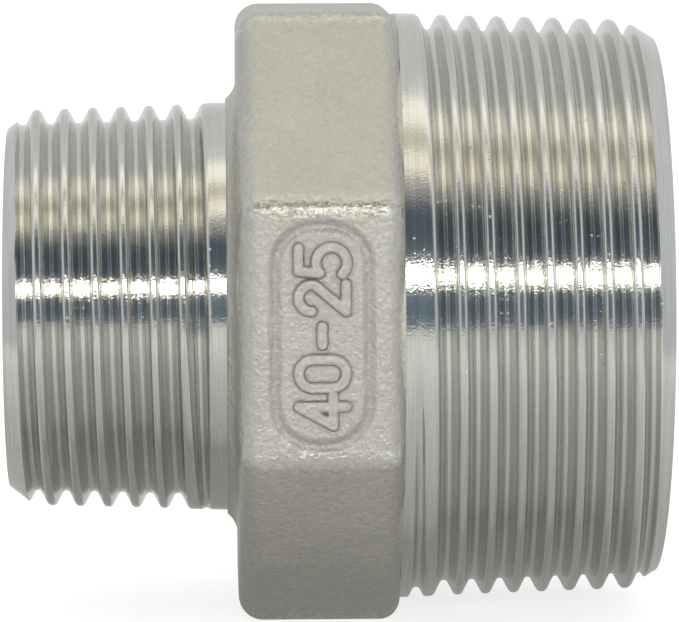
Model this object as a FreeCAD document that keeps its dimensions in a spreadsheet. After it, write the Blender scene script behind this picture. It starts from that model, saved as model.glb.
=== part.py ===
import FreeCAD, Part
import math
import os
import Sketcher

# Reducing hex nipple, R 1 1/2 to R 1, cast in stainless steel. Millimetres, +Z up.
# The pipe axis is X, with the large thread towards +X. The origin is on the axis, half way
# along the octagonal wrench section, and the nipple lies on one flat of that section.
# Angles round the axis are counted from the front (-Y) towards the top (+Z).

SIZES = {
    # wrench section, as cast
    "across_flats": 49.4,
    "body_width": 13.1,
    "corner_round": 1.7,
    "small_side_round": 1.95,
    "large_side_round": 1.65,
    # concave cast shoulder between the wrench section and the small collar
    "shoulder_length": 0.85,
    "shoulder_round": 2.2,
    "shoulder_root_radius": 16.7,
    # taper pipe thread form, 11 threads to the inch, shared by both ends
    "pitch": 2.3091,
    "flank_angle": 27.5,
    "thread_depth": 1.4786,
    "root_round": 0.3172,
    "taper_slope": 0.03125,
    "cutter_overshoot": 0.4,
    # large end, R 1 1/2: the gauge length is counted from the free end
    "large_end_length": 21.3,
    "large_gauge_radius": 23.9015,
    "large_gauge_length": 12.7,
    "large_collar_length": 1.8,
    "large_chamfer_length": 2.1,
    "large_chamfer_radius": 22.0,
    "large_bore_radius": 19.5,
    "large_fade_place": 8.417,
    "large_fade_angle": -130.0,
    "large_fade_turns": 0.458,
    "large_thread_turns": 9.0,
    # small end, R 1
    "small_end_length": 17.9,
    "small_gauge_radius": 16.6245,
    "small_gauge_length": 10.4,
    "small_collar_length": 2.1,
    "small_chamfer_length": 0.7,
    "small_chamfer_radius": 15.1,
    "small_bore_radius": 12.75,
    "small_fade_place": -9.66,
    "small_fade_angle": 0.0,
    "small_fade_turns": 0.328,
    "small_thread_turns": 7.4,
    "fade_growth": 1.6,
    # bore: the mouths are broken and a cone joins the two diameters
    "mouth_chamfer": 0.5,
    "bore_step_place": 0.5,
    # cast frame on the front flat and the raised size numerals inside it
    "frame_width": 7.7,
    "frame_height": 17.8,
    "frame_corner": 3.0,
    "frame_groove_width": 0.62,
    "frame_groove_depth": 0.25,
    "numeral_height": 4.6,
    "numeral_stroke": 0.9,
    "numeral_relief": 0.4,
    "numeral_pitch": 2.95,
}

document = FreeCAD.newDocument("reducing_nipple")
sheet = document.addObject("Spreadsheet::Sheet", "Sizes")
for row, (alias, number) in enumerate(SIZES.items(), start=1):
    sheet.set(f"A{row}", alias)
    sheet.set(f"B{row}", str(number))
    sheet.setAlias(f"B{row}", alias)
document.recompute()


def bound(expression):
    """Point every size name in an expression at its cell in the sheet."""
    words = expression.split(" ")
    return " ".join(f"Sizes.{word}" if word in SIZES else word for word in words)


def origin_plane(body, role):
    return next(item for item in body.Origin.OriginFeatures if item.Role == role)


def new_body(label):
    body = document.addObject("PartDesign::Body", label)
    body.Label = label
    return body


def new_sketch(body, name, role="XZ_Plane"):
    sketch = body.newObject("Sketcher::SketchObject", name)
    sketch.AttachmentSupport = [(origin_plane(body, role), "")]
    sketch.MapMode = "FlatFace"
    return sketch


def pin(sketch, geometry, place, across, up):
    """Hold one point of a sketch at two expressions, measured from the sketch's origin."""
    spot = sketch.getPoint(geometry, place)
    for kind, length, expression in (("DistanceX", spot.x, across), ("DistanceY", spot.y, up)):
        index = sketch.addConstraint(Sketcher.Constraint(kind, -1, 1, geometry, place, length))
        sketch.setExpression(f"Constraints[{index}]", bound(expression))


def polygon(sketch, corners):
    """Draw a closed outline whose corners are pairs of expressions."""
    count = len(corners)
    spots = []
    for index in range(count):
        turn = 2 * math.pi * index / count
        spots.append(FreeCAD.Vector(20 * math.cos(turn), 20 * math.sin(turn), 0))
    for index in range(count):
        sketch.addGeometry(Part.LineSegment(spots[index], spots[(index + 1) % count]))
    for index in range(count):
        sketch.addConstraint(Sketcher.Constraint("Coincident", index, 2, (index + 1) % count, 1))
    for index, (across, up) in enumerate(corners):
        pin(sketch, index, 1, across, up)


def revolve(body, name, sketch, kind="PartDesign::Revolution"):
    feature = body.newObject(kind, name)
    feature.Profile = sketch
    feature.ReferenceAxis = (sketch, ["H_Axis"])
    feature.Angle = 360
    return feature


def thread_cutter(side, name, radius_at):
    """A body holding the section of the groove: 55 degree flanks and a round root, open above the crest."""
    body = new_body(f"{side}_{name}_cutter")
    sketch = new_sketch(body, f"{side}_{name}_section")
    turn = 90 - SIZES[f"{side}_fade_angle"]
    sketch.AttachmentOffset = FreeCAD.Placement(
        FreeCAD.Vector(), FreeCAD.Rotation(FreeCAD.Vector(1, 0, 0), turn))
    sketch.setExpression("AttachmentOffset.Rotation.Angle", bound(f"90 - {side}_fade_angle"))
    middle = SIZES[f"{side}_fade_place"]
    crest = SIZES[f"{side}_gauge_radius"]
    flank = math.radians(SIZES["flank_angle"])
    root = SIZES["root_round"]
    centre = crest - SIZES["thread_depth"] + root
    touch_across = root * math.cos(flank)
    touch_up = centre - root * math.sin(flank)
    half_mouth = touch_across + (crest - touch_up) * math.tan(flank)
    top = crest + SIZES["cutter_overshoot"]
    spots = [
        FreeCAD.Vector(middle - half_mouth, top, 0),
        FreeCAD.Vector(middle - half_mouth, crest, 0),
        FreeCAD.Vector(middle - touch_across, touch_up, 0),
        FreeCAD.Vector(middle + touch_across, touch_up, 0),
        FreeCAD.Vector(middle + half_mouth, crest, 0),
        FreeCAD.Vector(middle + half_mouth, top, 0),
    ]
    wall_in, flank_in, flank_out, wall_out, lid, floor = range(6)
    for start, end in ((0, 1), (1, 2), (3, 4), (4, 5), (5, 0)):
        sketch.addGeometry(Part.LineSegment(spots[start], spots[end]))
    circle = Part.Circle(FreeCAD.Vector(middle, centre, 0), FreeCAD.Vector(0, 0, 1), root)
    sketch.addGeometry(Part.ArcOfCircle(circle, math.pi + flank, 2 * math.pi - flank))
    rules = [
        ("Coincident", wall_in, 2, flank_in, 1),
        ("Tangent", flank_in, 2, floor, 1),
        ("Tangent", floor, 2, flank_out, 1),
        ("Coincident", flank_out, 2, wall_out, 1),
        ("Coincident", wall_out, 2, lid, 1),
        ("Coincident", lid, 2, wall_in, 1),
        ("Vertical", wall_in),
        ("Vertical", wall_out),
        ("Horizontal", lid),
    ]
    for rule in rules:
        sketch.addConstraint(Sketcher.Constraint(*rule))
    pin(sketch, floor, 3, f"{side}_fade_place", f"{radius_at} - thread_depth + root_round")
    bindings = [
        (("Radius", floor, root), "root_round"),
        (("Angle", flank_in, flank - math.pi / 2), "flank_angle - 90"),
        (("Angle", flank_out, math.pi / 2 - flank), "90 - flank_angle"),
        (("DistanceY", -1, 1, flank_in, 1, crest), radius_at),
        (("DistanceY", -1, 1, flank_out, 2, crest), radius_at),
        (("DistanceY", -1, 1, lid, 1, top), f"{radius_at} + cutter_overshoot"),
    ]
    for rule, expression in bindings:
        index = sketch.addConstraint(Sketcher.Constraint(*rule))
        sketch.setExpression(f"Constraints[{index}]", bound(expression))
    document.recompute()
    helix = body.newObject("PartDesign::AdditiveHelix", f"{side}_{name}_helix")
    helix.Profile = sketch
    helix.ReferenceAxis = (sketch, ["H_Axis"])
    helix.HasBeenEdited = True
    return body, helix


def cut(label, base, tool):
    result = document.addObject("Part::Cut", label)
    result.Label = label
    result.Base = base
    result.Tool = tool
    return result


def cut_thread(label, blank, side, outwards, radius_at):
    """Cut the full-depth thread from the fade point out past the free end, then the fade itself."""
    thread_body, thread = thread_cutter(side, "thread", radius_at)
    thread.Mode = "pitch-turns-angle"
    thread.Reversed = outwards < 0
    thread.setExpression("Pitch", bound("pitch"))
    thread.setExpression("Turns", bound(f"{side}_thread_turns"))
    thread.setExpression("Angle", "-1 * atan(Sizes.taper_slope)")
    fade_body, fade = thread_cutter(side, "fade", radius_at)
    fade.Mode = "height-turns-growth"
    fade.Reversed = outwards > 0
    fade.setExpression("Height", bound(f"pitch * {side}_fade_turns"))
    fade.setExpression("Turns", bound(f"{side}_fade_turns"))
    fade.setExpression("Growth", bound(f"fade_growth / {side}_fade_turns"))
    threaded = cut(f"{side}_end_with_thread", blank, thread_body)
    return cut(label, threaded, fade_body)


def threaded_end(label, side, outwards, start):
    """One machined end: bore, collar, taper, chamfered mouth and the taper pipe thread."""
    sign = "" if outwards > 0 else "-1 * "
    free_end = f"( {start} + {side}_end_length )"

    def taper_radius(distance):
        slope = f"( {free_end} - {side}_gauge_length - {distance} ) * taper_slope"
        return f"{side}_gauge_radius + {slope}"

    collar_end = f"( {start} + {side}_collar_length )"
    chamfer_start = f"( {free_end} - {side}_chamfer_length )"
    body = new_body(f"{side}_end_blank")
    sketch = new_sketch(body, f"{side}_end_section")
    corners = [
        (start, f"{side}_bore_radius"),
        (start, taper_radius(collar_end)),
        (collar_end, taper_radius(collar_end)),
        (chamfer_start, taper_radius(chamfer_start)),
        (free_end, f"{side}_chamfer_radius"),
        (free_end, f"{side}_bore_radius + mouth_chamfer"),
        (f"{free_end} - mouth_chamfer", f"{side}_bore_radius"),
    ]
    polygon(sketch, [(f"{sign}( {across} )", up) for across, up in corners])
    document.recompute()
    revolve(body, f"{side}_end_turning", sketch)
    document.recompute()
    fade_distance = f"( {sign}{side}_fade_place )"
    return cut_thread(label, body, side, outwards, taper_radius(fade_distance))


def rounded_frame(sketch, half_width, half_height, corner, place):
    """Draw a rounded rectangle round the sketch's origin, bound to three expressions."""
    wide, high, round_off = place
    first = sketch.GeometryCount
    quarter = math.pi / 2
    for index, (across, up) in enumerate(((1, 1), (-1, 1), (-1, -1), (1, -1))):
        centre = FreeCAD.Vector(across * (wide - round_off), up * (high - round_off), 0)
        circle = Part.Circle(centre, FreeCAD.Vector(0, 0, 1), round_off)
        sketch.addGeometry(Part.ArcOfCircle(circle, index * quarter, (index + 1) * quarter))
    for index in range(4):
        start = sketch.getPoint(first + index, 2)
        end = sketch.getPoint(first + (index + 1) % 4, 1)
        sketch.addGeometry(Part.LineSegment(start, end))
    for index in range(4):
        line = first + 4 + index
        sketch.addConstraint(Sketcher.Constraint("Tangent", first + index, 2, line, 1))
        sketch.addConstraint(Sketcher.Constraint("Tangent", line, 2, first + (index + 1) % 4, 1))
    for index in range(3):
        sketch.addConstraint(Sketcher.Constraint("Equal", first + index, first + index + 1))
    sketch.addConstraint(Sketcher.Constraint("Horizontal", first + 4))
    sketch.addConstraint(Sketcher.Constraint("Vertical", first + 5))
    sketch.addConstraint(Sketcher.Constraint("Horizontal", first + 6))
    sketch.addConstraint(Sketcher.Constraint("Vertical", first + 7))
    bindings = [
        (("Radius", first, round_off), corner),
        (("DistanceX", -1, 1, first, 1, wide), half_width),
        (("DistanceX", first + 1, 2, -1, 1, wide), half_width),
        (("DistanceY", -1, 1, first, 2, high), half_height),
        (("DistanceY", first + 2, 2, -1, 1, high), half_height),
    ]
    for rule, expression in bindings:
        index = sketch.addConstraint(Sketcher.Constraint(*rule))
        sketch.setExpression(f"Constraints[{index}]", bound(expression))


def fillet(body, name, base, edges, radius):
    feature = body.newObject("PartDesign::Fillet", name)
    feature.Base = (base, edges)
    feature.setExpression("Radius", bound(radius))
    document.recompute()
    return feature


def edges_where(shape, test):
    return [f"Edge{index}" for index, edge in enumerate(shape.Edges, start=1) if test(edge)]


def wrench_body(label):
    """The cast middle: an octagonal wrench section with its shoulder, its bore and the cast frame."""
    body = new_body(label)
    sketch = new_sketch(body, "octagon_section", "YZ_Plane")
    half = "across_flats / 2"
    notch = "across_flats / 2 * tan(22.5)"
    signs = [(1, 1, False), (1, 1, True), (-1, 1, True), (-1, 1, False),
             (-1, -1, False), (-1, -1, True), (1, -1, True), (1, -1, False)]
    corners = []
    for across, up, upright in signs:
        pair = (notch, half) if upright else (half, notch)
        corners.append((f"{across} * {pair[0]}", f"{up} * {pair[1]}"))
    polygon(sketch, corners)
    document.recompute()
    octagon = body.newObject("PartDesign::Pad", "octagon")
    octagon.Profile = sketch
    octagon.Midplane = True
    octagon.setExpression("Length", bound("body_width"))
    document.recompute()

    half_width = SIZES["body_width"] / 2
    along = edges_where(octagon.Shape, lambda edge: abs(edge.tangentAt(edge.FirstParameter).x) > 0.99)
    rounded = fillet(body, "corner_rounding", octagon, along, "corner_round")
    large_rim = edges_where(rounded.Shape, lambda edge: edge.BoundBox.XMin > half_width - 0.01)
    rounded = fillet(body, "large_side_rounding", rounded, large_rim, "large_side_round")
    small_rim = edges_where(rounded.Shape, lambda edge: edge.BoundBox.XMax < 0.01 - half_width)
    fillet(body, "small_side_rounding", rounded, small_rim, "small_side_round")

    # Shoulder on the small side, hollowed by one arc, and the round boss that carries the large end.
    sketch = new_sketch(body, "shoulder_section")
    face = -half_width
    start = face - SIZES["shoulder_length"]
    reach = SIZES["shoulder_round"]
    centre = FreeCAD.Vector(face - reach, SIZES["shoulder_root_radius"] + reach, 0)
    drop = math.sqrt(reach ** 2 - (start - centre.x) ** 2)
    floor = SIZES["small_bore_radius"] - SIZES["mouth_chamfer"]
    boss = SIZES["large_gauge_radius"]
    middle = SIZES["bore_step_place"]
    spots = [
        FreeCAD.Vector(face, centre.y, 0),
        FreeCAD.Vector(middle, centre.y, 0),
        FreeCAD.Vector(middle, boss, 0),
        FreeCAD.Vector(half_width, boss, 0),
        FreeCAD.Vector(half_width, floor, 0),
        FreeCAD.Vector(start, floor, 0),
        FreeCAD.Vector(start, centre.y - drop, 0),
    ]
    lines = len(spots) - 1
    for index in range(lines):
        sketch.addGeometry(Part.LineSegment(spots[index], spots[index + 1]))
    circle = Part.Circle(centre, FreeCAD.Vector(0, 0, 1), reach)
    sketch.addGeometry(Part.ArcOfCircle(circle, math.atan2(-drop, start - centre.x), 0))
    for index in range(lines - 1):
        sketch.addConstraint(Sketcher.Constraint("Coincident", index, 2, index + 1, 1))
    sketch.addConstraint(Sketcher.Constraint("Coincident", lines - 1, 2, lines, 1))
    sketch.addConstraint(Sketcher.Constraint("Coincident", lines, 2, 0, 1))
    for index in range(lines):
        sketch.addConstraint(Sketcher.Constraint("Vertical" if index % 2 else "Horizontal", index))
    boss_radius = (
        "large_gauge_radius + ( large_end_length - large_gauge_length - large_collar_length ) * taper_slope"
    )
    axis_height = "shoulder_root_radius + shoulder_round"
    pin(sketch, lines, 3, "body_width / -2 - shoulder_round", axis_height)
    pin(sketch, 1, 2, "bore_step_place", boss_radius)
    pin(sketch, 4, 1, "body_width / 2", "small_bore_radius - mouth_chamfer")
    pin(sketch, 0, 1, "body_width / -2", axis_height)
    index = sketch.addConstraint(Sketcher.Constraint("DistanceX", -1, 1, lines - 1, 1, start))
    sketch.setExpression(f"Constraints[{index}]", bound("body_width / -2 - shoulder_length"))
    document.recompute()
    revolve(body, "shoulder_and_boss", sketch)
    document.recompute()

    # Waterway: the small bore, a cone and the large bore.
    sketch = new_sketch(body, "bore_section")
    small_face = "body_width / -2 - shoulder_length"
    polygon(sketch, [
        (small_face, "0"),
        (small_face, "small_bore_radius"),
        ("bore_step_place", "small_bore_radius"),
        ("body_width / 2", "large_bore_radius"),
        ("body_width / 2", "0"),
    ])
    document.recompute()
    revolve(body, "bore", sketch, "PartDesign::Groove")
    document.recompute()

    sketch = new_sketch(body, "frame_outline")
    sketch.AttachmentOffset = FreeCAD.Placement(
        FreeCAD.Vector(0, 0, SIZES["across_flats"] / 2), FreeCAD.Rotation())
    sketch.setExpression("AttachmentOffset.Base.z", bound("across_flats / 2"))
    groove = SIZES["frame_groove_width"]
    size = (SIZES["frame_width"] / 2, SIZES["frame_height"] / 2, SIZES["frame_corner"])
    rounded_frame(sketch, "frame_width / 2", "frame_height / 2", "frame_corner", size)
    inner = tuple(length - groove for length in size)
    rounded_frame(sketch, "frame_width / 2 - frame_groove_width", "frame_height / 2 - frame_groove_width",
                  "frame_corner - frame_groove_width", inner)
    document.recompute()
    before = body.Shape.Volume
    frame = body.newObject("PartDesign::Pocket", "frame_groove")
    frame.Profile = sketch
    frame.setExpression("Length", bound("frame_groove_depth"))
    document.recompute()
    if body.Shape.Volume > before - 1:
        raise SystemExit("the frame groove cut nothing")
    return body


# Each numeral is a few pen strokes in a box one unit high, standing on its foot.
# A stroke is two points for a straight line or three points for an arc.
NUMERALS = {
    "0": [((0.3, 1.0), (0.6, 0.5), (0.3, 0.0)), ((0.3, 0.0), (0.0, 0.5), (0.3, 1.0))],
    "2": [((0.03, 0.72), (0.34, 1.0), (0.58, 0.66)), ((0.58, 0.66), (0.03, 0.0)), ((0.03, 0.0), (0.6, 0.0))],
    "4": [((0.62, 0.28), (0.0, 0.28)), ((0.0, 0.28), (0.4, 1.0)), ((0.4, 1.0), (0.4, 0.0))],
    "5": [((0.56, 1.0), (0.08, 1.0)), ((0.08, 1.0), (0.04, 0.55)),
          ((0.04, 0.55), (0.58, 0.33), (0.02, 0.08))],
    "-": [((0.12, 0.5), (0.5, 0.5))],
}
NUMERAL_BOX_MIDDLE = (0.3, 0.5)
SIZE_NUMERALS = "40-25"


def raised_stroke(spots, half_stroke, relief):
    """A round-ended bar or bow, lifted off the front flat."""
    outwards = FreeCAD.Vector(0, -1, 0)
    if len(spots) == 3:
        line = Part.Wire([Part.Arc(*spots).toShape()])
        return Part.Face(line.makeOffset2D(half_stroke, 0, False, False, False)).extrude(outwards * relief)
    start, end = spots
    aside = (end - start).cross(outwards).normalize() * half_stroke
    bar = Part.Face(Part.makePolygon([start + aside, end + aside, end - aside, start - aside, start + aside]))
    caps = [Part.makeCylinder(half_stroke, relief, spot, outwards) for spot in spots]
    return bar.extrude(outwards * relief).multiFuse(caps)


def size_mark(label):
    """Raised numerals on the front flat, read from below upwards."""
    stroke = sheet.get("numeral_stroke")
    height = sheet.get("numeral_height") - stroke
    step = sheet.get("numeral_pitch")
    front = sheet.get("across_flats") / -2
    middle_along, middle_up = NUMERAL_BOX_MIDDLE
    solids = []
    for letter, numeral in enumerate(SIZE_NUMERALS):
        foot = (letter - (len(SIZE_NUMERALS) - 1) / 2) * step
        strokes = []
        for run in NUMERALS[numeral]:
            spots = [
                FreeCAD.Vector((middle_up - up) * height, front, foot + (along - middle_along) * height)
                for along, up in run
            ]
            strokes.append(raised_stroke(spots, stroke / 2, sheet.get("numeral_relief")))
        whole = strokes[0]
        if len(strokes) > 1:
            whole = strokes[0].multiFuse(strokes[1:])
        solids.extend(whole.removeSplitter().Solids)
    feature = document.addObject("Part::Feature", label)
    feature.Label = label
    feature.Shape = Part.makeCompound(solids)
    feature.Placement = FreeCAD.Placement()
    return feature


large_side = "body_width / 2"
small_side = "body_width / 2 + shoulder_length"
nodes = [
    wrench_body("octagon_body"),
    threaded_end("large_threaded_end", "large", 1, large_side),
    threaded_end("small_threaded_end", "small", -1, small_side),
    size_mark("size_mark"),
]
document.recompute()
for item in document.Objects:
    if "Invalid" in item.State or "Error" in item.State:
        raise SystemExit(f"{item.Label} failed: {item.State}")
os.makedirs("parts", exist_ok=True)
for node in nodes:
    if node.Shape.isNull() or not node.Shape.isValid():
        raise SystemExit(f"{node.Label} has no valid shape")
    node.Shape.exportStep(f"parts/{node.Label}.step")
    print(node.Label, round(node.Shape.Volume, 1), "mm3", len(node.Shape.Solids), "solid")
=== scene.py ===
import math
import bmesh
import bpy
import numpy as np
from mathutils import Matrix, Vector


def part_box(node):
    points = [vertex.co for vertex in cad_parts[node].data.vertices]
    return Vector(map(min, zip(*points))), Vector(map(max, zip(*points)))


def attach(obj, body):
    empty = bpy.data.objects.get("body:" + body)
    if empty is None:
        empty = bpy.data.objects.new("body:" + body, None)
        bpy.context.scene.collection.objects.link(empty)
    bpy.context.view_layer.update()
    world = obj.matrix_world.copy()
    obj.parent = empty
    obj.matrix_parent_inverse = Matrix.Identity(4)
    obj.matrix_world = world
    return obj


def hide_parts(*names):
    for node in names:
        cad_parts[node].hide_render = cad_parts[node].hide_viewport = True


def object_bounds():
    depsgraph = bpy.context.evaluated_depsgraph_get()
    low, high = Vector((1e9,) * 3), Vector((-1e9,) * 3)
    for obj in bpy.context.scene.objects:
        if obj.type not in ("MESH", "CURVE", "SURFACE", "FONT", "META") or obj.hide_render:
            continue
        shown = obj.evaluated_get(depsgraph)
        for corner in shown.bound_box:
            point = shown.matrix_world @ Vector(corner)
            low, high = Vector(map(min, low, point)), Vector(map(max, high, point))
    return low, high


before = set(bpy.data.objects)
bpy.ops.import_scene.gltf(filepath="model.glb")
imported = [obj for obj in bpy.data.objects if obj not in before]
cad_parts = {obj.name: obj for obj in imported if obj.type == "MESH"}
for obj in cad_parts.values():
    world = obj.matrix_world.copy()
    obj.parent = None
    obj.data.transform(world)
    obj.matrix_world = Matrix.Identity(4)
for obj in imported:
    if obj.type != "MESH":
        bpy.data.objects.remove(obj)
cad_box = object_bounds()

# ---------------------------------------------------------------------------------------------
# Large threaded end. It is turned on a lathe from the stainless casting: bore, collar, 1 in 16
# taper and chamfered mouth. One full-form insert then cuts the right-hand pipe thread and backs
# out over the last half turn, beside the collar.
# ---------------------------------------------------------------------------------------------

MM = 0.001


class Wire:
    """A node's output in plain arithmetic: each operation adds one Math node."""

    def __init__(self, board, socket):
        self.board = board
        self.socket = socket

    def math(self, operation, *others):
        return self.board.node("ShaderNodeMath", {"operation": operation}, dict(enumerate([self, *others])))

    def __add__(self, other):
        return self.math("ADD", other)

    def __sub__(self, other):
        return self.math("SUBTRACT", other)

    def __rsub__(self, other):
        return self.board.node("ShaderNodeMath", {"operation": "SUBTRACT"}, {0: other, 1: self})

    def __mul__(self, other):
        return self.math("MULTIPLY", other)

    def __truediv__(self, other):
        return self.math("DIVIDE", other)

    def __neg__(self):
        return self.math("MULTIPLY", -1.0)

    def __abs__(self):
        return self.math("ABSOLUTE")

    __radd__ = __add__
    __rmul__ = __mul__

    def at_least(self, other):
        return self.math("MAXIMUM", other)

    def at_most(self, other):
        return self.math("MINIMUM", other)

    def above(self, other):
        return self.math("GREATER_THAN", other)

    def root(self):
        return self.math("SQRT")

    def clamped(self):
        return self.at_least(0.0).at_most(1.0)


class Board:
    """A shader or geometry node tree, with one method that adds a node."""

    def __init__(self, tree):
        self.tree = tree

    def feed(self, node, values):
        """Give a node's inputs their values, or the links that carry them."""
        for key, value in values.items():
            if isinstance(value, Wire):
                self.tree.links.new(value.socket, node.inputs[key])
            else:
                node.inputs[key].default_value = value

    def node(self, kind, settings=None, values=None, out=0):
        """Add a node, settings first. out picks its output; a tuple picks several."""
        node = self.tree.nodes.new(kind)
        for name, setting in (settings or {}).items():
            if name == "stops":
                stops = node.color_ramp.elements
                while len(stops) < len(setting):
                    stops.new(1.0)
                for stop, (place, tone) in zip(stops, setting):
                    stop.position = place
                    stop.color = (*tone, 1.0)
            else:
                setattr(node, name, setting)
        self.feed(node, values or {})
        if isinstance(out, tuple):
            return [Wire(self, node.outputs[key]) for key in out]
        return Wire(self, node.outputs[out])

    def mix(self, share, first, second):
        """Blend two colours."""
        return self.node("ShaderNodeMix", {"data_type": "RGBA"}, {0: share, 6: first, 7: second}, out=2)

    def noise(self, place, scale, detail, roughness=0.5):
        return self.node("ShaderNodeTexNoise", {},
                         {"Vector": place, "Scale": scale, "Detail": detail, "Roughness": roughness})


PITCH = 25.4 / 11 * MM
FLANK = math.radians(27.5)
TAPER = 1 / 32
CREST_RADIUS = 0.42 * MM
ROOT_RADIUS = 0.38 * MM
SHARP_DEPTH = PITCH / 2 / math.tan(FLANK) - CREST_RADIUS * (1 / math.sin(FLANK) - 1)
CUTTER_SIZES = ("Pitch", "Sharp depth", "Root radius", "Crest radius", "Softness", "Waviness",
                "Cone radius", "Cone slope", "Groove place", "Fade place", "Fade length", "Fade lift",
                "Away from body")


def thread_cutter():
    """Geometry Nodes that cut one tapered, fading pipe thread into a turned blank along X."""
    tree = bpy.data.node_groups.new("pipe thread cutter", "GeometryNodeTree")
    new_socket = tree.interface.new_socket
    new_socket("Geometry", in_out="OUTPUT", socket_type="NodeSocketGeometry")
    new_socket("Blank", in_out="INPUT", socket_type="NodeSocketGeometry")
    for name in CUTTER_SIZES:
        new_socket(name, in_out="INPUT", socket_type="NodeSocketFloat")
    new_socket("Finish", in_out="INPUT", socket_type="NodeSocketMaterial")
    board = Board(tree)
    blank, *given, finish = board.node("NodeGroupInput", out=("Blank", *CUTTER_SIZES, "Finish"))
    size = dict(zip(CUTTER_SIZES, given))
    where = board.node("GeometryNodeInputPosition")
    x, y, z = board.node("ShaderNodeSeparateXYZ", {}, {0: where}, out=(0, 1, 2))
    radius = (y * y + z * z).root()
    turn = z.math("ARCTAN2", -y) / (2 * math.pi)
    # Count grooves along the helix: whole numbers are groove centres.
    count = (x - size["Groove place"]) / size["Pitch"] + turn
    groove = count.math("ROUND")
    off = abs(count - groove) * size["Pitch"]
    centre = size["Groove place"] + size["Pitch"] * (groove - turn)
    # Depth below the crest line: round root, straight flank, round crest.
    root_radius, crest_radius = size["Root radius"], size["Crest radius"]
    root = (size["Sharp depth"] - root_radius / math.sin(FLANK)
            + (root_radius * root_radius - off * off).at_least(0.0).root())
    flank = size["Sharp depth"] - off / math.tan(FLANK)
    rest = size["Pitch"] * 0.5 - off
    crest = crest_radius - (crest_radius * crest_radius - rest * rest).at_least(0.0).root()
    in_root = 1.0 - off.above(root_radius * math.cos(FLANK))
    in_crest = 1.0 - rest.above(crest_radius * math.cos(FLANK))
    depth = root * in_root + crest * in_crest + flank * (1.0 - in_root) * (1.0 - in_crest)
    # The cutter backs out of the work past the fade place.
    past = (size["Fade place"] - centre) * size["Away from body"] / size["Fade length"]
    left = depth - past.at_least(0.0) * size["Fade lift"]
    cut = (left + (left * left + size["Softness"] * size["Softness"]).root()) * 0.5
    ripple = (board.noise(where, 420.0, 2.0) - 0.5) * size["Waviness"]
    cone = size["Cone radius"] + size["Cone slope"] * x
    scale = radius.at_most(cone - cut + ripple) / radius
    moved = board.node("ShaderNodeCombineXYZ", {}, {0: x, 1: y * scale, 2: z * scale})
    placed = board.node("GeometryNodeSetPosition", {}, {"Geometry": blank, "Position": moved})
    real = board.node("GeometryNodeRealizeInstances", {}, {"Geometry": placed})
    done = board.node("GeometryNodeSetMaterial", {}, {"Geometry": real, "Material": finish})
    board.node("NodeGroupOutput", {}, {0: done}, out=())
    return tree


def cut_thread(piece, tree, sizes, finish):
    """Run the cutter over the blank and keep the result as the piece's own plain mesh."""
    cutter = piece.modifiers.new("thread", "NODES")
    cutter.node_group = tree
    for item in tree.interface.items_tree:
        if item.in_out == "INPUT" and item.name in sizes:
            cutter[item.identifier] = sizes[item.name]
        if item.in_out == "INPUT" and item.name == "Finish":
            cutter[item.identifier] = finish
    bpy.context.view_layer.update()
    evaluated = piece.evaluated_get(bpy.context.evaluated_depsgraph_get())
    cut = bpy.data.meshes.new_from_object(evaluated)
    piece.modifiers.remove(cutter)
    piece.data = cut
    tidy_mesh(cut, 50)


def new_piece(name, points, faces):
    """Add a mesh object at the origin."""
    mesh = bpy.data.meshes.new(name)
    mesh.from_pydata(points.tolist(), [], faces.tolist())
    piece = bpy.data.objects.new(name, mesh)
    bpy.context.scene.collection.objects.link(piece)
    return piece


def ringed_piece(name, x, out, up):
    """A piece from rows of points that go once round the axis; the last row joins the first."""
    rows, columns = x.shape
    points = np.stack([x, -out, up], axis=2).reshape(-1, 3)
    down = np.arange(rows)[:, None] * columns
    below = np.roll(down, -1, axis=0)
    across = np.arange(columns - 1)[None, :]
    faces = np.stack([down + across, down + across + 1, below + across + 1, below + across], axis=2)
    return new_piece(name, points, faces.reshape(-1, 4))


def tidy_mesh(mesh, sharp_angle):
    """Weld coincident points, point the faces outwards and keep only real corners sharp."""
    work = bmesh.new()
    work.from_mesh(mesh)
    bmesh.ops.remove_doubles(work, verts=work.verts, dist=2e-6)
    bmesh.ops.dissolve_degenerate(work, edges=work.edges, dist=1e-6)
    bmesh.ops.recalc_face_normals(work, faces=work.faces)
    work.to_mesh(mesh)
    work.free()
    mesh.shade_smooth()
    mesh.set_sharp_from_angle(angle=math.radians(sharp_angle))


def helix_rows():
    """Places within one pitch, from one groove centre to the next, close together on the curves."""
    bends = np.linspace(-1.0, 1.0, 7) * (math.pi / 2 - FLANK)
    root = ROOT_RADIUS * np.sin(bends) / PITCH
    crest = 0.5 + CREST_RADIUS * np.sin(bends) / PITCH
    flank = np.linspace(root[-1], crest[0], 6)[1:-1]
    return np.concatenate([root[3:], flank, crest, 1 - flank[::-1], 1 + root[:3]])


MOUTH_CHAMFER = 0.5 * MM
BROKEN_EDGE = 0.12 * MM


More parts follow.
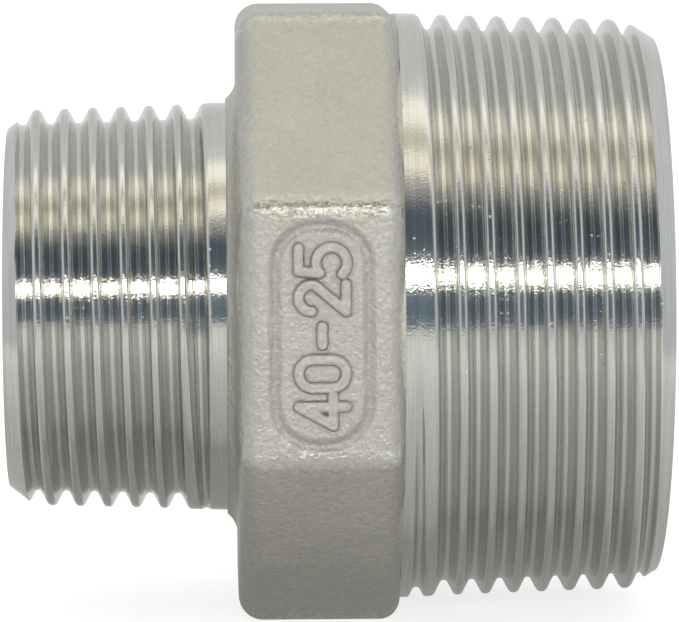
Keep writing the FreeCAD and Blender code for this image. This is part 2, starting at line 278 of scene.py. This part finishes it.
def turned_blank(name, sign, face, free_end, cone_radius, chamfer, bore, groove, columns):
    """Blank for one end. Its outside rows run along the thread's helix, so that the cut stays clean."""
    chamfer_length, chamfer_radius = chamfer
    turn = np.linspace(-math.pi, math.pi, columns + 1)[None, :]
    low, high = sorted((face, free_end))
    first = math.floor((low - groove) / PITCH) - 1
    last = math.ceil((high - groove) / PITCH) + 1
    steps = np.concatenate([count + helix_rows() for count in range(first, last)])
    x = np.clip(groove + PITCH * (steps[:, None] - turn / (2 * math.pi)), low, high)
    if sign < 0:
        x = x[::-1]
    taper = cone_radius - sign * TAPER * x
    from_end = np.abs(free_end - x)
    bevel = chamfer_radius + (taper - chamfer_radius) * from_end / chamfer_length
    radius = np.where(from_end < chamfer_length, np.minimum(bevel, taper), taper)

    # The end face, the chamfered mouth, the bore and the hidden face against the casting.
    edge, mouth = BROKEN_EDGE, MOUTH_CHAMFER
    lip = bore + mouth
    inner_start = free_end - sign * (mouth + edge)
    collar = float(taper[0, 0])
    profile = [(free_end, chamfer_radius - edge)]
    profile += [(free_end, chamfer_radius + (lip - chamfer_radius) * share) for share in (0.15, 0.5, 0.85)]
    profile += [
        (free_end, lip + edge),
        (free_end - sign * 0.3 * edge, lip + 0.3 * edge),
        (free_end - sign * edge, lip - 0.3 * edge),
        (free_end - sign * (mouth - 0.5 * edge), bore + 0.5 * edge),
        (inner_start, bore),
    ]
    profile += [(inner_start + (face - inner_start) * share, bore) for share in (0.04, 0.25, 0.5, 0.75, 1.0)]
    profile += [(face, bore + (collar - bore) * share) for share in (0.25, 0.75)]
    profile_x, profile_radius = np.array(profile).T[:, :, None] * np.ones_like(turn)
    x = np.concatenate([x, profile_x])
    radius = np.concatenate([radius, profile_radius])
    return ringed_piece(name, x, radius * np.cos(turn), radius * np.sin(turn))


def new_finish(name):
    """A new material, with the board of its tree and its own shader."""
    finish = bpy.data.materials.new(name)
    finish.use_nodes = True
    return finish, Board(finish.node_tree), finish.node_tree.nodes["Principled BSDF"]


def turned_steel(name, bore_radius):
    """Bright turned stainless: fine rings from the tool, a little grain, a duller bore."""
    finish, board, shader = new_finish(name)
    place = board.node("ShaderNodeTexCoord", out=3)
    x, y, z = board.node("ShaderNodeSeparateXYZ", {}, {0: place}, out=(0, 1, 2))
    radius = (y * y + z * z).root()

    def tool_marks(fineness, arcs, detail):
        """Noise drawn out round the axis: fine along the tool's path, long round the part."""
        spot = board.node("ShaderNodeCombineXYZ", {},
                          {0: x * fineness, 1: radius * fineness, 2: y / radius * arcs})
        return board.node("ShaderNodeTexNoise", {"noise_dimensions": "4D"}, {
            "Vector": spot, "W": z / radius * arcs, "Scale": 1.0, "Detail": detail, "Roughness": 0.6})

    rings = tool_marks(9000.0, 4.0, 3.0)
    bands = tool_marks(1800.0, 2.0, 2.0)
    chatter = tool_marks(700.0, 14.0, 2.0)
    grain = board.noise(place, 5200.0, 2.0)
    # One cell in a few holds a nick.
    nearest, cell = board.node("ShaderNodeTexVoronoi", {}, {"Vector": place, "Scale": 1500.0},
                               out=("Distance", "Color"))
    picked = board.node("ShaderNodeSeparateColor", {}, {0: cell}).above(0.8)
    nicks = (1.0 - nearest / 0.16).clamped() * picked
    in_bore = ((bore_radius + 0.35 * MM - radius) / (0.1 * MM)).clamped()
    tone = board.node("ShaderNodeValToRGB", {"stops": [
        (0.32, (0.52, 0.52, 0.50)), (0.68, (0.70, 0.695, 0.675)),
    ]}, {0: rings * 0.6 + bands * 0.4})
    height = (rings * 0.12 + bands * 0.45 + chatter * 0.9 - nicks * 4.0 + grain * 0.85
              + in_bore * (grain + bands) * 2.0)
    bump = board.node("ShaderNodeBump", {}, {"Strength": 0.6, "Distance": 0.02 * MM, "Height": height})
    board.feed(shader, {
        "Metallic": 1.0,
        "Roughness": 0.05 + rings * 0.08 + bands * 0.04 + nicks * 0.2 + in_bore * 0.25,
        "Base Color": board.mix(in_bore, tone, (0.52, 0.51, 0.475, 1.0)),
        "Normal": bump,
    })
    return finish


cutter_tree = thread_cutter()
THREAD = {"Pitch": PITCH, "Sharp depth": SHARP_DEPTH, "Root radius": ROOT_RADIUS,
          "Crest radius": CREST_RADIUS, "Softness": 0.05 * MM, "Waviness": 0.03 * MM,
          "Fade lift": 1.6 * MM}

large_low, large_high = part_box("large_threaded_end")
large_face, large_end = large_low.x, large_high.x
LARGE_BORE = 19.5 * MM
LARGE_GAUGE_RADIUS = 23.9015 * MM
LARGE_GAUGE_LENGTH = 12.7 * MM
LARGE_CHAMFER = (2.4 * MM, 22.1 * MM)
LARGE_GROOVE = 9.893 * MM
large_cone = LARGE_GAUGE_RADIUS + TAPER * (large_end - LARGE_GAUGE_LENGTH)
large = turned_blank("large_end", 1, large_face, large_end, large_cone, LARGE_CHAMFER, LARGE_BORE,
                     LARGE_GROOVE, 300)
cut_thread(large, cutter_tree, {
    **THREAD, "Cone radius": large_cone, "Cone slope": -TAPER, "Groove place": LARGE_GROOVE,
    "Fade place": 8.417 * MM, "Fade length": 1.058 * MM, "Away from body": 1.0,
}, turned_steel("turned steel, large end", LARGE_BORE))
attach(large, "root")
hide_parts("large_threaded_end")

# ---------------------------------------------------------------------------------------------
# Small threaded end: the same turning and the same cutter on the other side of the casting,
# with a wider collar that the thread fades into.
# ---------------------------------------------------------------------------------------------

small_low, small_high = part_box("small_threaded_end")
small_face, small_end = small_high.x, small_low.x
SMALL_BORE = 12.75 * MM
SMALL_GAUGE_RADIUS = 16.6245 * MM
SMALL_GAUGE_LENGTH = 10.4 * MM
SMALL_CHAMFER = (2.0 * MM, 14.8 * MM)
SMALL_GROOVE = -9.66 * MM
small_cone = SMALL_GAUGE_RADIUS - TAPER * (small_end + SMALL_GAUGE_LENGTH)
small = turned_blank("small_end", -1, small_face, small_end, small_cone, SMALL_CHAMFER, SMALL_BORE,
                     SMALL_GROOVE, 240)
cut_thread(small, cutter_tree, {
    **THREAD, "Cone radius": small_cone, "Cone slope": TAPER, "Groove place": SMALL_GROOVE,
    "Fade place": SMALL_GROOVE, "Fade length": 0.7574 * MM, "Away from body": -1.0,
}, turned_steel("turned steel, small end", SMALL_BORE))
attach(small, "root")
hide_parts("small_threaded_end")

# ---------------------------------------------------------------------------------------------
# Octagonal wrench body: an investment casting in stainless steel, shot blasted all over. Its
# corners and rims are rounded, a hollow shoulder leads to the small collar, and the front flat
# has a shallow cast frame round the size numerals.
# ---------------------------------------------------------------------------------------------

HALF_FLATS = 24.7 * MM
HALF_WIDTH = 6.55 * MM
CORNER = 1.7 * MM
SMALL_RIM = 1.95 * MM
LARGE_RIM = 1.65 * MM
SHOULDER_ROUND = 2.2 * MM
SHOULDER_TOP = 18.9 * MM
SHOULDER_LAP = 0.85 * MM
COLLAR_INSIDE = 15.0 * MM
BOSS = 24.11 * MM
CONE_END = 0.5 * MM
EIGHTH = math.pi / 4
FRONT_SAMPLES, FLAT_SAMPLES = 230, 24


def octagon_columns():
    """Side number, place along the flat from -1 to 1, and share of the corner arc, for each column."""
    columns = []
    for side in range(8):
        for place in np.linspace(-1, 1, FRONT_SAMPLES if side == 0 else FLAT_SAMPLES):
            columns.append((side, place, 0.0))
        for share in np.linspace(0, 1, 10)[1:-1]:
            columns.append((side, 1.0, share))
    return np.array(columns + columns[:1])


columns = octagon_columns()


def octagon_outline(apothem):
    """Points (towards the front, up) of a rounded octagon. Side 0 is the front flat."""
    side, place, share = columns.T
    straight = apothem - CORNER
    flat = straight * math.tan(EIGHTH / 2)
    lean = side * EIGHTH
    bend = lean + share * EIGHTH
    out = straight * np.cos(lean) - place * flat * np.sin(lean) + CORNER * np.cos(bend)
    up = straight * np.sin(lean) + place * flat * np.cos(lean) + CORNER * np.sin(bend)
    return out, up


base_out, base_up = octagon_outline(HALF_FLATS)
base_length = np.hypot(base_out, base_up)
ring_out, ring_up = base_out / base_length, base_up / base_length
rows = []


def ring_row(x, radius):
    rows.append((np.full(len(columns), x), radius * ring_out, radius * ring_up))


def octagon_row(x, inset, least=0.0):
    """A row of the octagon, drawn in by inset but never closer to the axis than least."""
    out, up = octagon_outline(HALF_FLATS - inset)
    length = np.hypot(out, up)
    grow = np.maximum(length, least) / length
    rows.append((np.full(len(columns), x), out * grow, up * grow))


# From the small bore out over the shoulder, across the flats, and back in through the large side.
start = -HALF_WIDTH - SHOULDER_LAP
for share in (0.0, 0.5, 1.0):
    ring_row(start, SMALL_BORE + (COLLAR_INSIDE - SMALL_BORE) * share)
shoulder_axis = -HALF_WIDTH - SHOULDER_ROUND
low_angle = math.acos((start - shoulder_axis) / SHOULDER_ROUND)
for angle in np.linspace(low_angle, 0.0, 9):
    ring_row(shoulder_axis + SHOULDER_ROUND * math.cos(angle),
             SHOULDER_TOP - SHOULDER_ROUND * math.sin(angle))
rim_out, rim_up = octagon_outline(HALF_FLATS - SMALL_RIM)
for share in np.linspace(0, 1, 8)[1:-1]:
    rows.append((np.full(len(columns), -HALF_WIDTH),
                 SHOULDER_TOP * ring_out * (1 - share) + rim_out * share,
                 SHOULDER_TOP * ring_up * (1 - share) + rim_up * share))
for angle in np.linspace(0, math.pi / 2, 9):
    octagon_row(-HALF_WIDTH + SMALL_RIM * (1 - math.cos(angle)), SMALL_RIM * (1 - math.sin(angle)))
for x in np.linspace(-HALF_WIDTH + SMALL_RIM, HALF_WIDTH - LARGE_RIM, 120)[1:-1]:
    octagon_row(x, 0.0)
for angle in np.linspace(math.pi / 2, 0, 11):
    octagon_row(HALF_WIDTH - LARGE_RIM * (1 - math.cos(angle)), LARGE_RIM * (1 - math.sin(angle)), BOSS)
for share in (0.3, 0.7):
    ring_row(HALF_WIDTH, BOSS + (LARGE_BORE - BOSS) * share)
for share in (0.0, 0.5, 1.0):
    ring_row(HALF_WIDTH + (CONE_END - HALF_WIDTH) * share, LARGE_BORE + (SMALL_BORE - LARGE_BORE) * share)

body_x = np.array([row[0] for row in rows])
body_out = np.array([row[1] for row in rows])
body_up = np.array([row[2] for row in rows])

# Cast frame on the front flat: a shallow trough that follows a rounded rectangle.
FRAME_HALF = (3.66 * MM, 8.60 * MM)
FRAME_CORNER = 3.2 * MM
TROUGH_HALF = 0.68 * MM
TROUGH_DEPTH = 0.22 * MM
beyond_x = np.abs(body_x) - (FRAME_HALF[0] - FRAME_CORNER)
beyond_up = np.abs(body_up) - (FRAME_HALF[1] - FRAME_CORNER)
outside = np.hypot(np.maximum(beyond_x, 0), np.maximum(beyond_up, 0))
inside = np.minimum(np.maximum(beyond_x, beyond_up), 0)
from_line = np.abs(outside + inside - FRAME_CORNER) / TROUGH_HALF
trough = TROUGH_DEPTH * np.where(from_line < 1, 0.5 + 0.5 * np.cos(math.pi * from_line), 0)
on_front = (columns[:, 0] == 0)[None, :] & (body_out > HALF_FLATS - 0.05 * MM)
body_out = body_out - np.where(on_front, trough, 0)

# Each numeral is a few pen strokes, straight or through a middle point, in a box one unit high.
NUMERALS = {
    "0": [((0.0, 0.66), (0.3, 1.0), (0.6, 0.66)), ((0.6, 0.66), (0.6, 0.34)),
          ((0.6, 0.34), (0.3, 0.0), (0.0, 0.34)), ((0.0, 0.34), (0.0, 0.66))],
    "2": [((0.03, 0.72), (0.34, 1.0), (0.58, 0.66)), ((0.58, 0.66), (0.03, 0.0)), ((0.03, 0.0), (0.6, 0.0))],
    "4": [((0.62, 0.28), (0.0, 0.28)), ((0.0, 0.28), (0.4, 1.0)), ((0.4, 1.0), (0.4, 0.0))],
    "5": [((0.56, 1.0), (0.08, 1.0)), ((0.08, 1.0), (0.04, 0.55)),
          ((0.04, 0.55), (0.58, 0.33), (0.02, 0.08))],
    "-": [((0.12, 0.5), (0.5, 0.5))],
}
NUMERAL_MIDDLE = (0.3, 0.5)
SIZE_NUMERALS = "40-25"
STROKE = 0.9 * MM
NUMERAL_HEIGHT = 3.7 * MM
NUMERAL_STEP = 2.95 * MM


def arc_through(first, middle, last, steps=24):
    """Points along the arc from first to last by way of middle."""
    (ax, ay), (bx, by), (cx, cy) = first, middle, last
    twice = 2 * (ax * (by - cy) + bx * (cy - ay) + cx * (ay - by))
    ox = ((ax**2 + ay**2) * (by - cy) + (bx**2 + by**2) * (cy - ay) + (cx**2 + cy**2) * (ay - by)) / twice
    oy = ((ax**2 + ay**2) * (cx - bx) + (bx**2 + by**2) * (ax - cx) + (cx**2 + cy**2) * (bx - ax)) / twice
    begin = math.atan2(ay - oy, ax - ox)
    sweep = (math.atan2(cy - oy, cx - ox) - begin) % (2 * math.pi)
    if (math.atan2(by - oy, bx - ox) - begin) % (2 * math.pi) > sweep:
        sweep -= 2 * math.pi
    reach = math.hypot(ax - ox, ay - oy)
    turns = begin + sweep * np.linspace(0, 1, steps)
    return list(zip(ox + reach * np.cos(turns), oy + reach * np.sin(turns)))


def distance_to_strokes(x, up):
    """Distance from each spot of the front flat to the nearest pen stroke of the mark, in half strokes."""
    nearest = np.full(x.shape, 1.0)
    middle_along, middle_high = NUMERAL_MIDDLE
    for letter, numeral in enumerate(SIZE_NUMERALS):
        foot = (letter - (len(SIZE_NUMERALS) - 1) / 2) * NUMERAL_STEP
        for run in NUMERALS[numeral]:
            line = arc_through(*run) if len(run) == 3 else list(run)
            spots = [((middle_high - high) * NUMERAL_HEIGHT, foot + (along - middle_along) * NUMERAL_HEIGHT)
                     for along, high in line]
            for (x0, up0), (x1, up1) in zip(spots[:-1], spots[1:]):
                dx, dup = x1 - x0, up1 - up0
                share = np.clip(((x - x0) * dx + (up - up0) * dup) / (dx**2 + dup**2), 0, 1)
                nearest = np.minimum(nearest, np.hypot(x - x0 - share * dx, up - up0 - share * dup))
    return nearest / (STROKE / 2)


def paint(mesh, name, values):
    """Store one number for each point, for the finish to read."""
    layer = mesh.attributes.new(name, "FLOAT", "POINT")
    layer.data.foreach_set("value", values.reshape(-1).astype(np.float32))


body = ringed_piece("octagon_casting", body_x, body_out, body_up)
# The trough, and the foot of each numeral, get painted shade: a darker colour than the open surface.
trough_shade = 0.45 * trough / TROUGH_DEPTH
foot_shade = 0.55 * np.clip(1 - np.abs(distance_to_strokes(body_x, body_up) - 1.1) / 0.7, 0, 1)
paint(body.data, "hollow", np.where(on_front, np.maximum(trough_shade, foot_shade), 0))
# Tumbling has rubbed the eight corners smoother than the flats; their colour also gets a painted glint.
CORNER_REACH = 0.06
near_corner = np.clip((np.abs(columns[:, 1]) - (1 - CORNER_REACH)) / CORNER_REACH, 0, 1)
on_corner = np.where(columns[:, 2] > 0, 1, near_corner)[None, :]
paint(body.data, "rubbed", on_corner * (np.hypot(body_out, body_up) > BOSS))
tidy_mesh(body.data, 60)


def blasted_steel(name):
    """Shot-blasted cast stainless: dimples, fine sparkle, soft cloudy tone, painted shade and a painted
    glint.
    """
    finish, board, shader = new_finish(name)
    place = board.node("ShaderNodeTexCoord", out=3)
    pits = board.node("ShaderNodeTexVoronoi", {"feature": "F1"}, {"Vector": place, "Scale": 2600.0})
    grain = board.noise(place, 3600.0, 2.0, 0.6)
    orange_peel = board.noise(place, 1500.0, 2.0)
    specks = board.noise(place, 2300.0, 3.0, 0.7)
    clouds = board.noise(place, 220.0, 3.0)
    tone = board.node("ShaderNodeValToRGB", {"stops": [
        (0.36, (0.515, 0.503, 0.468)), (0.5, (0.555, 0.542, 0.501)), (0.64, (0.605, 0.590, 0.543)),
    ]}, {0: specks * 0.75 + clouds * 0.25})
    hollow = board.node("ShaderNodeAttribute", {"attribute_name": "hollow"}, out=2)
    rubbed = board.node("ShaderNodeAttribute", {"attribute_name": "rubbed"}, out=2)
    # Painted shade: the colour is darkened in the trough and at the foot of the numerals.
    shaded_tone = board.mix((hollow * 0.8).clamped(), tone, (0.33, 0.325, 0.305, 1.0))
    # Painted glint: the colour is lightened in specks on the corners; the lower roughness there is the real
    # rubbing.
    painted_glint = rubbed * ((specks - 0.5) * 6.0).clamped()
    height = pits * 0.5 + grain * 1.1 + orange_peel * 1.6
    bump = board.node("ShaderNodeBump", {}, {"Strength": 1.0, "Distance": 0.06 * MM, "Height": height})
    board.feed(shader, {
        "Metallic": 1.0,
        "Roughness": 0.36 + specks * 0.2 - rubbed * 0.16,
        "Base Color": board.mix(painted_glint, shaded_tone, (0.68, 0.667, 0.635, 1.0)),
        "Normal": bump,
    })
    return finish


cast_steel = blasted_steel("blasted cast steel")
body.data.materials.append(cast_steel)
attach(body, "root")
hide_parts("octagon_body")

# ---------------------------------------------------------------------------------------------
# Size mark: raised numerals cast with the body inside the frame, read from below upwards. They
# give the nominal bores of the two ends in millimetres.
# ---------------------------------------------------------------------------------------------

RELIEF = 0.4 * MM
SINK = 0.05 * MM
ROOT_DEPTH = 0.25 * MM
MARK_HALF = (2.6 * MM, 7.8 * MM)
CELL = 0.065 * MM
EDGE = 1.2
grid_x, grid_up = np.meshgrid(np.arange(-MARK_HALF[0], MARK_HALF[0], CELL),
                              np.arange(-MARK_HALF[1], MARK_HALF[1], CELL), indexing="ij")
off_stroke = distance_to_strokes(grid_x, grid_up)
# A flat top, a rounded side, and a rim that sinks into the flat.
side = np.clip((off_stroke - 0.45) / 0.65, 0, EDGE)
relief = RELIEF * np.sqrt(np.clip(1 - side**2, 0, 1)) - SINK * np.clip(off_stroke - 0.95, 0, 1) / 0.15
keep = off_stroke < EDGE
cells = keep[:-1, :-1] & keep[1:, :-1] & keep[:-1, 1:] & keep[1:, 1:]
number = np.arange(grid_x.size).reshape(grid_x.shape)
quads = np.stack([number[:-1, :-1], number[1:, :-1], number[1:, 1:], number[:-1, 1:]], axis=2)[cells]
used, renumbered = np.unique(quads, return_inverse=True)
front = np.stack([grid_x, -(HALF_FLATS + relief), grid_up], axis=2).reshape(-1, 3)
mark = new_piece("size_numerals", front[used], renumbered.reshape(quads.shape))
# Painted shade: the numerals' colour darkens towards their foot.
paint(mark.data, "hollow", 0.35 * np.clip((off_stroke - 0.7) / 0.35, 0, 1).reshape(-1)[used])


def close_back(mesh, depth):
    """Draw the open rim back into the body and close it, so that the numerals are solid."""
    work = bmesh.new()
    work.from_mesh(mesh)
    rim = [edge for edge in work.edges if edge.is_boundary]
    walls = bmesh.ops.extrude_edge_only(work, edges=rim)
    for item in walls["geom"]:
        if isinstance(item, bmesh.types.BMVert):
            item.co.y = depth
    rim = [edge for edge in work.edges if edge.is_boundary]
    bmesh.ops.holes_fill(work, edges=rim)
    bmesh.ops.triangulate(work, faces=[face for face in work.faces if len(face.verts) > 4])
    bmesh.ops.recalc_face_normals(work, faces=work.faces)
    work.to_mesh(mesh)
    work.free()
    mesh.shade_smooth()
    mesh.set_sharp_from_angle(angle=math.radians(70))


close_back(mark.data, -(HALF_FLATS - ROOT_DEPTH))
mark.data.materials.append(cast_steel)
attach(mark, "root")
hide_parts("size_mark")

# ---------------------------------------------------------------------------------------------
# Studio: a plain pale floor of white paper, a pale surround with soft bands of light above and
# behind the camera, and the camera.
# ---------------------------------------------------------------------------------------------

scene = bpy.context.scene
scene.view_settings.view_transform = "Standard"
scene.view_settings.look = "None"
ground = cad_box[0].z


def square_card(name, half, height):
    """A level square centred on the origin."""
    corners = [(-half, -half, height), (half, -half, height), (half, half, height), (-half, half, height)]
    return new_piece(name, np.array(corners), np.array([(0, 1, 2, 3)]))


FLOOR_HALF = 3.0
floor = square_card("floor", FLOOR_HALF, ground)
paper, paper_board, paper_shader = new_finish("white paper")
paper_board.feed(paper_shader, {
    "Base Color": (0.5, 0.5, 0.5, 1.0), "Roughness": 0.8,
    "Emission Color": (1.0, 1.0, 1.0, 1.0), "Emission Strength": 0.72,
})
floor.data.materials.append(paper)
floor.visible_glossy = False
floor.visible_diffuse = False

# The patch of floor in the object's own shade, which only its reflections see.
REACH = 0.12
CARD_LIFT = 0.05 * MM
SHADE_HALF = (26.0 * MM, 16.0 * MM)
SHADE_FADE = 75.0 * MM
shaded_floor = square_card("shaded_floor", REACH, ground + CARD_LIFT)
shade, shade_board, shade_shader = new_finish("shaded paper")
spot = shade_board.node("ShaderNodeTexCoord", out=3)
spot_x, spot_y = shade_board.node("ShaderNodeSeparateXYZ", {}, {0: spot}, out=(0, 1))
out_x = (abs(spot_x) - SHADE_HALF[0]).at_least(0.0)
out_y = (abs(spot_y) - SHADE_HALF[1]).at_least(0.0)
open_floor = ((out_x * out_x + out_y * out_y).root() / SHADE_FADE).at_most(1.0).root() * 0.54 + 0.36
shade_board.feed(shade_shader, {
    "Base Color": (0.0, 0.0, 0.0, 1.0), "Specular IOR Level": 0.0, "Emission Strength": 1.0,
    "Emission Color": shade_board.node("ShaderNodeCombineColor", {},
                                       {0: open_floor, 1: open_floor, 2: open_floor * 0.96}),
})
shaded_floor.data.materials.append(shade)
shaded_floor.visible_camera = False
shaded_floor.visible_shadow = False
shaded_floor.visible_diffuse = False

# Bands of light along the pipe axis: angle from the camera's side upwards, level and tint.
WARM = (1.06, 1.0, 0.82)
CREAM = (1.03, 1.0, 0.88)
COOL = (0.93, 1.0, 1.03)
BLUE = (0.72, 0.97, 1.22)
PLAIN = (1.0, 1.0, 0.93)
GREY = (0.98, 1.0, 0.98)
GLOW = (1.04, 1.0, 0.88)
BRIGHTEST = 25.0
BANDS = [
    (-180, 0.80, GREY), (-150, 0.50, COOL), (-122, 0.30, COOL), (-100, 0.46, GREY), (-76, 0.56, PLAIN),
    (-50, 0.62, PLAIN), (-38, 0.68, PLAIN), (-31, 0.74, PLAIN), (-25, 0.86, PLAIN), (-8, 0.92, PLAIN),
    (-5.0, 0.88, PLAIN), (-3.0, 0.24, BLUE), (12, 0.195, BLUE), (15.5, 0.3, GREY), (16.1, 23.0, GLOW),
    (18.0, 23.0, GLOW), (18.5, 0.3, GREY), (23, 0.195, BLUE), (30, 0.14, BLUE), (43, 0.14, BLUE),
    (47, 0.30, GREY), (54, 0.55, PLAIN), (60, 1.20, WARM), (65, 1.20, WARM), (71, 0.72, WARM),
    (76, 0.75, WARM), (82, 1.32, CREAM), (91, 1.32, CREAM), (98, 0.84, PLAIN), (110, 0.78, GREY),
    (150, 0.74, GREY), (180, 0.80, GREY),
]
world = bpy.data.worlds.new("studio")
scene.world = world
world.use_nodes = True
world.node_tree.nodes.clear()
sky = Board(world.node_tree)
toward = sky.node("ShaderNodeTexCoord", out=0)
sx, sy, sz = sky.node("ShaderNodeSeparateXYZ", {}, {0: toward}, out=(0, 1, 2))
tent = sky.node("ShaderNodeValToRGB", {"stops": [
    (angle / 360 + 0.5, tuple(level * share / BRIGHTEST for share in tint)) for angle, level, tint in BANDS
]}, {0: sz.math("ARCTAN2", -sy) / (2 * math.pi) + 0.5})
at_side = ((abs(sx) - 0.45) / 0.35).clamped()
side_level = (0.70 + sz * 0.15) / BRIGHTEST
side_tone = sky.node("ShaderNodeCombineColor", {},
                     {0: side_level * 0.97, 1: side_level, 2: side_level * 1.02})
around = sky.mix(at_side, tent, side_tone)
lit = sky.node("ShaderNodeBackground", {}, {"Color": around, "Strength": BRIGHTEST})
pale = sky.node("ShaderNodeBackground", {}, {"Color": (1.0, 1.0, 1.0, 1.0), "Strength": 1.0})
seen = sky.node("ShaderNodeLightPath")
mixed = sky.node("ShaderNodeMixShader", {}, {0: seen, 1: lit, 2: pale})
sky.node("ShaderNodeOutputWorld", {}, {0: mixed}, out=())

AZIMUTH, ELEVATION, ROLL = math.radians(-1.5), math.radians(5.6), math.radians(0.2)
DISTANCE = 0.400
VIEW_WIDTH = 56.25518 * MM
camera_data = bpy.data.cameras.new("camera")
camera_data.sensor_width = 36.0
camera_data.lens = camera_data.sensor_width * DISTANCE / VIEW_WIDTH
camera_data.clip_start = 0.01
camera = bpy.data.objects.new("camera", camera_data)
scene.collection.objects.link(camera)
back = Vector((math.sin(AZIMUTH) * math.cos(ELEVATION), -math.cos(AZIMUTH) * math.cos(ELEVATION),
               math.sin(ELEVATION)))
right = Vector((math.cos(AZIMUTH), math.sin(AZIMUTH), 0.0))
up = back.cross(right)
aim = right * 1.98 * MM - up * 0.45 * MM
facing = Matrix((right, up, back)).transposed() @ Matrix.Rotation(-ROLL, 3, "Z")
camera.matrix_world = Matrix.Translation(aim + back * DISTANCE) @ facing.to_4x4()
scene.camera = camera
